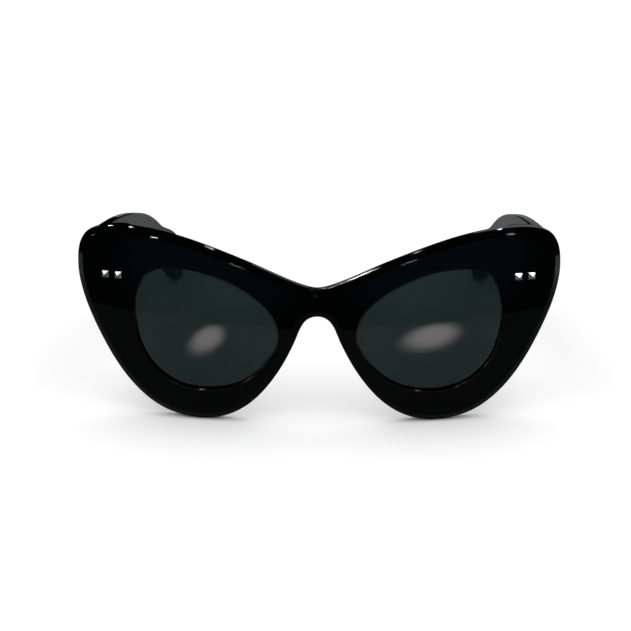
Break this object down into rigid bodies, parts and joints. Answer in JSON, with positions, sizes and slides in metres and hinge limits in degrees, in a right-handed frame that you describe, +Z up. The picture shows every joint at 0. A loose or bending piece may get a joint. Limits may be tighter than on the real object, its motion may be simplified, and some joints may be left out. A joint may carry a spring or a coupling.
{
  "type": "cat eye sunglasses",
  "caption": "Cat eye sunglasses in glossy black plastic with dark tinted lenses, riveted metal studs and wide folding temples.",
  "frame": {"origin": "centre of the bounding box's bottom, on the surface the glasses stand on", "axes": "+Z up; the front faces -Y; +X to the wearer's left; standing open on the rims and temple tips"},
  "size_m": [0.1562, 0.1538, 0.0633],
  "materials": {
    "front_acetate": "polished",
    "temple_acetate": "polished",
    "pad_acetate": "polished",
    "lens": "polished",
    "hinge_metal": "satin",
    "screw_metal": "turned",
    "stud_metal": "polished",
    "core_metal": "satin"
  },
  "bodies": {
    "front": {"front_frame": "front_acetate", "lens_left": "lens", "lens_right": "lens", "nose_pad_left": "pad_acetate", "nose_pad_right": "pad_acetate", "front_leaf_left": "hinge_metal", "front_leaf_right": "hinge_metal", "front_rivet_inner_left": "stud_metal", "front_rivet_outer_left": "stud_metal", "front_rivet_inner_right": "stud_metal", "front_rivet_outer_right": "stud_metal"},
    "temple_left": {"temple_left": "temple_acetate", "temple_leaf_left": "hinge_metal", "hinge_screw_left": "screw_metal", "temple_rivet_front_left": "stud_metal", "temple_rivet_back_left": "stud_metal", "temple_core_left": "core_metal"},
    "temple_right": {"temple_right": "temple_acetate", "temple_leaf_right": "hinge_metal", "hinge_screw_right": "screw_metal", "temple_rivet_front_right": "stud_metal", "temple_rivet_back_right": "stud_metal", "temple_core_right": "core_metal"}
  },
  "joints": [
    {"name": "fold_left", "type": "hinge", "parent": "front", "child": "temple_left", "pos_m": [0.0688, -0.05747, 0.04734], "axis": [0, 0.1392, 0.9903], "range_deg": [0, 85]},
    {"name": "fold_right", "type": "hinge", "parent": "front", "child": "temple_right", "pos_m": [-0.0688, -0.05747, 0.04734], "axis": [0, -0.1392, -0.9903], "range_deg": [0, 62]}
  ]
}
